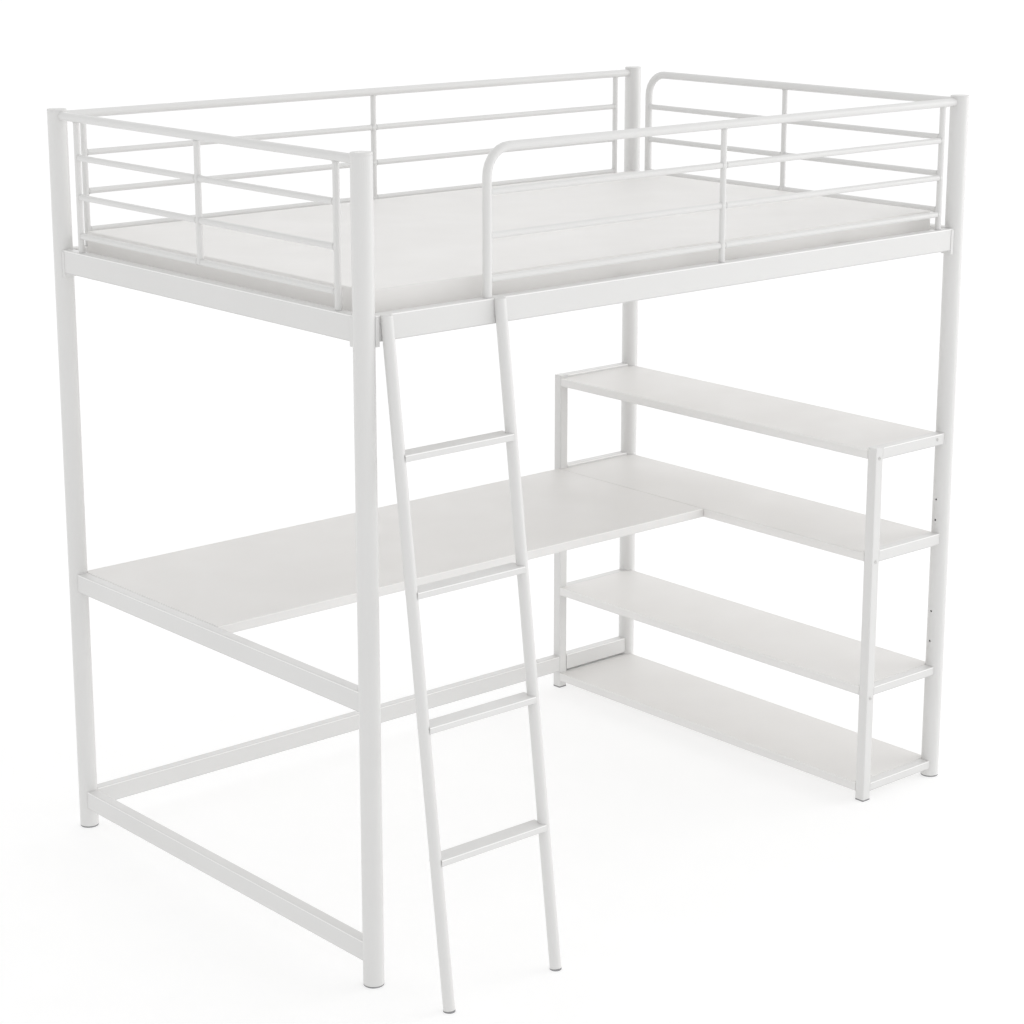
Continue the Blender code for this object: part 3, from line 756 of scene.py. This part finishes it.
# Along each guard, from a post's axis to an upright bar's axis.
FRONT_GUARD_BEND = 0.355          # from the left post to the bent end, beside the ladder
FRONT_GUARD_MIDDLE = 1.120        # from the left post
FRONT_GUARD_END = 0.069           # from the right post
BACK_GUARD_END = 0.075            # from the post at either end
LEFT_GUARD_END = 0.092            # from the post at either end
RIGHT_GUARD_END = 0.056           # from the front post
RIGHT_GUARD_BEND = 0.072          # from the back post to the bent end
BEAD_AROUND, BEAD_SECTION = 28, 8     # how many sides a bead has round the bar and in its section
BEAD_OUT = 0.25                   # how much of a bead's thickness its ring stands off the bar
BEAD_FLAT = 0.8                   # how high a bead is, for its width
BEAD_RIPPLE = 0.18                # how rough a bead is, for its thickness


def guard_levels():
    """The heights of the bars' axes, lowest first, and the top rail's last."""
    size = sizes_of()
    rail_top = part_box("bed_rail_front")[1].z
    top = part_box("guard_back")[1].z - size.guard_top / 2
    low = rail_top + GUARD_LOW_RISE
    return [low + (top - low) * i / GUARD_BARS for i in range(GUARD_BARS + 1)]


def ripple_bead(name, radius, thick):
    """A rippled fillet of weld laid round a bar that runs along Z, at the world's origin."""
    clear_selection()
    bpy.ops.mesh.primitive_torus_add(major_segments=BEAD_AROUND, minor_segments=BEAD_SECTION,
                                     major_radius=radius + thick * BEAD_OUT, minor_radius=thick)
    bead = laid_down(name)
    with editing(bead):
        bpy.ops.mesh.select_all(action="SELECT")
        bpy.ops.transform.resize(value=(1.0, 1.0, BEAD_FLAT))
        bpy.ops.transform.vertex_random(offset=thick * BEAD_RIPPLE, uniform=0.2, normal=0.8,
                                        seed=7)
    soft_shade(bead, 60)
    return bead


def spots_on(along_x, line, marks, bent):
    """Where each bead of a guard lies: (place, turn), with the bars along X or along Y.

    line is the guard's place across its bars, marks are its three uprights' places along them,
    and bent is the one of them, if any, that runs into the top rail in a bend, with no weld."""
    size = sizes_of()
    levels = guard_levels()
    bar = size.guard_bar / 2
    turn = (0.0, math.pi / 2, 0.0) if along_x else (math.pi / 2, 0.0, 0.0)

    def spot(u, z):
        return Vector((u, line, z)) if along_x else Vector((line, u, z))

    beads = []
    first, mid, last = marks
    for z in levels[:-1]:
        for u in (first + bar, mid - bar, mid + bar, last - bar):
            beads.append((spot(u, z), turn))
    under = levels[-1] - size.guard_top / 2
    for u in marks:
        if u != bent:
            beads.append((spot(u, under), (0.0, 0.0, 0.0)))
    return beads


class LOFTBED_OT_guard_welds(bpy.types.Operator):
    """Lay a weld bead wherever a bar of a guard meets an upright or the top rail"""
    bl_idname = "loftbed.guard_welds"
    bl_label = "Guard welds"

    def execute(self, context):
        size = sizes_of()
        left, right = post_axis("front_left"), post_axis("front_right")
        back = post_axis("back_left")
        x0, y0, x1, y1 = left.x, left.y, right.x, back.y
        middle_x, middle_y = (x0 + x1) / 2, (y0 + y1) / 2
        front_bend, right_bend = x0 + FRONT_GUARD_BEND, y1 - RIGHT_GUARD_BEND
        guards = {
            "front": (True, y0, (front_bend, x0 + FRONT_GUARD_MIDDLE, x1 - FRONT_GUARD_END),
                      front_bend),
            "back": (True, y1, (x0 + BACK_GUARD_END, middle_x, x1 - BACK_GUARD_END), None),
            "left": (False, x0, (y0 + LEFT_GUARD_END, middle_y, y1 - LEFT_GUARD_END), None),
            "right": (False, x1, (y0 + RIGHT_GUARD_END, middle_y, right_bend), right_bend),
        }
        bead = ripple_bead("bead", size.guard_bar / 2, size.weld)
        for side, (along_x, line, marks, bent) in guards.items():
            laid = []
            for place, turn in spots_on(along_x, line, marks, bent):
                take(bead)
                bpy.ops.object.duplicate(linked=False)
                twin = bpy.context.active_object
                twin.rotation_euler = turn
                twin.location = place
                bpy.ops.object.transform_apply(location=True, rotation=True, scale=True)
                laid.append(twin)
            welds = gathered(laid, "welds_" + side)
            coat(welds, weld_paint())
            fitted(welds, "guard")
        bpy.data.objects.remove(bead, do_unlink=True)
        return {"FINISHED"}


# ---- welds on the shelf frame ---------------------------------------------------------------------
SHELF_WELD_R = 0.0019
SHELF_WELD_SUNK = 0.0014          # how deep its axis lies below the tubes' faces
SHELF_WELD_SHORT = 0.0010         # how far it stops below the rail's top and above its underside
SHELF_WELD_RIPPLE = 0.0002
SHELF_WELD_SIDES = 10
SHELF_WELD_CUTS = 9               # across each run, so that it can be rippled


class LOFTBED_OT_shelf_welds(bpy.types.Operator):
    """Fill the groove between each shelf upright and its side rails with a run of weld"""
    bl_idname = "loftbed.shelf_welds"
    bl_label = "Shelf welds"

    def execute(self, context):
        for side, outward in (("front", -1), ("back", 1)):
            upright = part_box("shelf_upright_" + side)
            face = upright[0].y if outward < 0 else upright[1].y
            runs = []
            for level in SHELVES:
                low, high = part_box("shelf_rail_%s_%d" % (side, level))
                tall = high.z - low.z - 2 * SHELF_WELD_SHORT
                place = Vector((upright[1].x - SHELF_WELD_R / 3, face - outward * SHELF_WELD_SUNK,
                                (low.z + high.z) / 2))
                run = drum("weld_run", place, SHELF_WELD_R, tall, SHELF_WELD_SIDES)
                with editing(run, "EDGE"):
                    pick_edges(run, lambda a, b: abs(a.z - b.z) > tall / 2)
                    bpy.ops.mesh.subdivide(number_cuts=SHELF_WELD_CUTS)
                    bpy.ops.mesh.select_all(action="SELECT")
                    bpy.ops.transform.vertex_random(offset=SHELF_WELD_RIPPLE, uniform=0.2,
                                                    normal=0.8, seed=level)
                soft_shade(run, 60)
                runs.append(run)
            welds = gathered(runs, "welds_shelf_" + side)
            coat(welds, weld_paint())
            fitted(welds, "frame")
        return {"FINISHED"}


# ---- screws ----------------------------------------------------------------------------------------
SCREW_LEVELS = (4, 3, 2)              # the shelves beside which the upright has a screw
SCREW_RISE = (0.004, 0.002, -0.006)   # how far above each one's side rail's underside
HIGH_SCREW_IN = 0.028                 # from the end of the high side rail to its own screw
HIGH_SCREW_UP = 0.002                 # above that rail's middle line
HEAD_SIDES = 36
HEAD_TALL = 0.0022
HEAD_DOME = 0.0012                    # radius of the rounded rim
SOCKET_R = 0.0019                     # of the hexagon's corners
SOCKET_RIM = 0.0022                   # radius of the ring of flat face round the socket
SOCKET_TOOL_TALL = 0.0026             # half of it goes into the head


def screw_head(name, place, outward):
    """A domed head with a hexagon socket, facing along Y; outward is -1 at the front, 1 behind."""
    size = sizes_of()
    radius = size.screw_head / 2
    facing = (math.pi / 2, 0.0, 0.0)
    head = drum(name, place + Vector((0.0, outward * HEAD_TALL / 2, 0.0)), radius, HEAD_TALL,
                HEAD_SIDES, facing)
    face = place.y + outward * HEAD_TALL
    with editing(head, "EDGE"):
        pick_edges(head, lambda a, b: max(abs(a.y - face), abs(b.y - face)) < TINY)
        bpy.ops.mesh.bevel(offset=HEAD_DOME, segments=4, affect="EDGES")
    with editing(head):
        pick_faces(head, lambda c, n: n.y * outward > 0.99 and abs(c.y - face) < TINY)
        bpy.ops.mesh.inset(thickness=radius - HEAD_DOME - SOCKET_RIM, depth=0.0)
    socket = drum("socket_tool", place + Vector((0.0, outward * HEAD_TALL, 0.0)), SOCKET_R,
                  SOCKET_TOOL_TALL, 6, facing)
    cut_away(head, socket)
    coat(head, plated_screw())
    soft_shade(head, 30)
    return head


class LOFTBED_OT_screws(bpy.types.Operator):
    """Set the socket screws in the shelf uprights and at the ends of the high side rails"""
    bl_idname = "loftbed.screws"
    bl_label = "Screws"

    def execute(self, context):
        for side, outward in (("front", -1), ("back", 1)):
            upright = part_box("shelf_upright_" + side)
            face = upright[0].y if outward < 0 else upright[1].y
            mid_x = (upright[0].x + upright[1].x) / 2
            heads = []
            for level, rise in zip(SCREW_LEVELS, SCREW_RISE):
                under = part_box("shelf_rail_%s_%d" % (side, level))[0].z
                heads.append(screw_head("screw", Vector((mid_x, face, under + rise)), outward))
            low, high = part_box("shelf_rail_%s_4" % side)
            place = Vector((high.x - HIGH_SCREW_IN, low.y if outward < 0 else high.y,
                            (low.z + high.z) / 2 + HIGH_SCREW_UP))
            heads.append(screw_head("screw", place, outward))
            fitted(gathered(heads, "screws_" + side), "cap")
        return {"FINISHED"}


# ---- studio ----------------------------------------------------------------------------------------
CAMERA_AT = (-4.110, -4.583, 2.533)
CAMERA_YAW = 41.01                # degrees to the right of straight at the bed's long side
CAMERA_PITCH = 13.98              # degrees below level
CAMERA_LENS = 83.1
CAMERA_SHIFT = -0.05
CAMERA_SENSOR = 36.0
CAMERA_FAR = 200.0
KEY_AT, KEY_AIM, KEY_SIZE, KEY_POWER = (6.6, -3.4, 2.6), (0.0, 0.0, 0.9), (4.0, 4.0), 95.0
TOP_AT, TOP_AIM, TOP_SIZE, TOP_POWER = (0.4, 0.6, 5.2), (0.0, 0.1, 0.8), (4.5, 4.0), 5.0
AIR_ACROSS = (-0.97, -0.25, 0.0)  # the way in which the surroundings grow dimmer, level
AIR_ACROSS_SPAN = (-0.9, 0.9)
AIR_ACROSS_LEVELS = (1.25, 0.76)  # beyond the shelf end, beyond the ladder end
AIR_UP_SPAN = (0.0, 0.9)
AIR_UP_LEVELS = (1.22, 0.80)      # at the horizon, overhead
FLOOR_RADIUS = 60.0
FLOOR_SHADES = ((0.500, 0.500, 0.499, 1.0), (0.512, 0.512, 0.511, 1.0))
FLOOR_GLOW = 0.545


def soft_box(name, place, aim, size, power):
    lamp = bpy.data.lights.new(name, "AREA")
    lamp.shape = "RECTANGLE"
    lamp.size, lamp.size_y = size
    lamp.energy = power
    obj = bpy.data.objects.new(name, lamp)
    obj.location = place
    obj.rotation_euler = (Vector(aim) - Vector(place)).to_track_quat("-Z", "Y").to_euler()
    bpy.context.scene.collection.objects.link(obj)
    return obj


def studio_air():
    """White surroundings: brighter beyond the shelf end and near the horizon, dimmer beyond the
    ladder end and overhead. The viewer sees them as plain white."""
    world = bpy.data.worlds.new("studio_air")
    bpy.context.scene.world = world
    world.use_nodes = True
    tree = world.node_tree
    white = tree.nodes["Background"]
    where = tree.nodes.new("ShaderNodeTexCoord").outputs["Generated"]
    side = tree.nodes.new("ShaderNodeVectorMath")
    side.operation = "DOT_PRODUCT"
    side.inputs[1].default_value = AIR_ACROSS
    tree.links.new(where, side.inputs[0])
    height = tree.nodes.new("ShaderNodeSeparateXYZ")
    tree.links.new(where, height.inputs["Vector"])

    def graded(value, span, levels):
        node = tree.nodes.new("ShaderNodeMapRange")
        for key, number in zip(("From Min", "From Max", "To Min", "To Max"), span + levels):
            node.inputs[key].default_value = number
        tree.links.new(value, node.inputs["Value"])
        return node.outputs["Result"]

    both = tree.nodes.new("ShaderNodeMath")
    both.operation = "MULTIPLY"
    tree.links.new(graded(side.outputs["Value"], AIR_ACROSS_SPAN, AIR_ACROSS_LEVELS),
                   both.inputs[0])
    tree.links.new(graded(height.outputs["Z"], AIR_UP_SPAN, AIR_UP_LEVELS), both.inputs[1])
    tree.links.new(both.outputs["Value"], white.inputs["Strength"])
    backdrop = tree.nodes.new("ShaderNodeBackground")
    backdrop.inputs["Strength"].default_value = 1.0
    for node in (white, backdrop):
        node.inputs["Color"].default_value = (1.0, 1.0, 1.0, 1.0)
    path = tree.nodes.new("ShaderNodeLightPath")
    mix = tree.nodes.new("ShaderNodeMixShader")
    tree.links.new(path.outputs["Is Camera Ray"], mix.inputs["Fac"])
    tree.links.new(white.outputs["Background"], mix.inputs[1])
    tree.links.new(backdrop.outputs["Background"], mix.inputs[2])
    tree.links.new(mix.outputs["Shader"], tree.nodes["World Output"].inputs["Surface"])


def studio_floor():
    """A pale round floor, lit a little from within so that it stays near white under the bed."""
    clear_selection()
    bpy.ops.mesh.primitive_circle_add(vertices=96, radius=FLOOR_RADIUS, fill_type="NGON",
                                      location=(0.0, 0.0, FLOOR_Z))
    floor = laid_down("studio_floor")
    r = Recipe("studio_floor")
    speck = r.spread(r.noise(scale=6.0, detail=3.0), 0.0, 1.0)
    colour = r.blend(speck, *FLOOR_SHADES)
    r.join(colour, r.shader.inputs["Base Color"])
    r.shader.inputs["Roughness"].default_value = 0.9
    r.shader.inputs["Specular IOR Level"].default_value = 0.1
    r.shader.inputs["Emission Color"].default_value = (1.0, 1.0, 1.0, 1.0)
    r.shader.inputs["Emission Strength"].default_value = FLOOR_GLOW
    coat(floor, r.material)


class LOFTBED_OT_studio(bpy.types.Operator):
    """Set up the pale floor, the soft lights and the camera"""
    bl_idname = "loftbed.studio"
    bl_label = "Studio"

    def execute(self, context):
        scene = context.scene
        studio_air()
        studio_floor()
        soft_box("key_light", KEY_AT, KEY_AIM, KEY_SIZE, KEY_POWER)
        soft_box("top_light", TOP_AT, TOP_AIM, TOP_SIZE, TOP_POWER)
        lens = bpy.data.cameras.new("view")
        lens.lens = CAMERA_LENS
        lens.sensor_width = CAMERA_SENSOR
        lens.shift_y = CAMERA_SHIFT
        lens.clip_end = CAMERA_FAR
        viewer = bpy.data.objects.new("view", lens)
        viewer.location = CAMERA_AT
        viewer.rotation_euler = (math.radians(90.0 - CAMERA_PITCH), 0.0, -math.radians(CAMERA_YAW))
        scene.collection.objects.link(viewer)
        scene.camera = viewer
        scene.view_settings.view_transform = "Standard"
        scene.view_settings.look = "None"
        clear_selection()
        return {"FINISHED"}


# ---- sidebar ---------------------------------------------------------------------------------------
STEPS = (
    LOFTBED_OT_studio,
    LOFTBED_OT_paint_steel,
    LOFTBED_OT_desk_board,
    LOFTBED_OT_shelf_boards,
    LOFTBED_OT_mattress_panel,
    LOFTBED_OT_post_caps,
    LOFTBED_OT_foot_glides,
    LOFTBED_OT_guard_welds,
    LOFTBED_OT_shelf_welds,
    LOFTBED_OT_screws,
)


class LOFTBED_PT_panel(bpy.types.Panel):
    """Sizes, colours and the pieces of the bed"""
    bl_label = "Loft Bed"
    bl_idname = "LOFTBED_PT_panel"
    bl_space_type = "VIEW_3D"
    bl_region_type = "UI"
    bl_category = "Loft Bed"

    def draw(self, context):
        layout = self.layout
        for group in (context.scene.loft_bed_finish, context.scene.loft_bed_sizes):
            box = layout.box()
            for name in group.__annotations__:
                box.prop(group, name)
        column = layout.column(align=True)
        for step in STEPS:
            column.operator(step.bl_idname)


CLASSES = (LoftBedFinish, LoftBedSizes) + STEPS + (LOFTBED_PT_panel,)


def register():
    for cls in CLASSES:
        bpy.utils.register_class(cls)
    bpy.types.Scene.loft_bed_finish = bpy.props.PointerProperty(type=LoftBedFinish)
    bpy.types.Scene.loft_bed_sizes = bpy.props.PointerProperty(type=LoftBedSizes)


def unregister():
    del bpy.types.Scene.loft_bed_sizes
    del bpy.types.Scene.loft_bed_finish
    for cls in reversed(CLASSES):
        bpy.utils.unregister_class(cls)


def main():
    register()
    for step in STEPS:
        family, name = step.bl_idname.split(".")
        getattr(getattr(bpy.ops, family), name)()


if __name__ == "__main__":
    main()
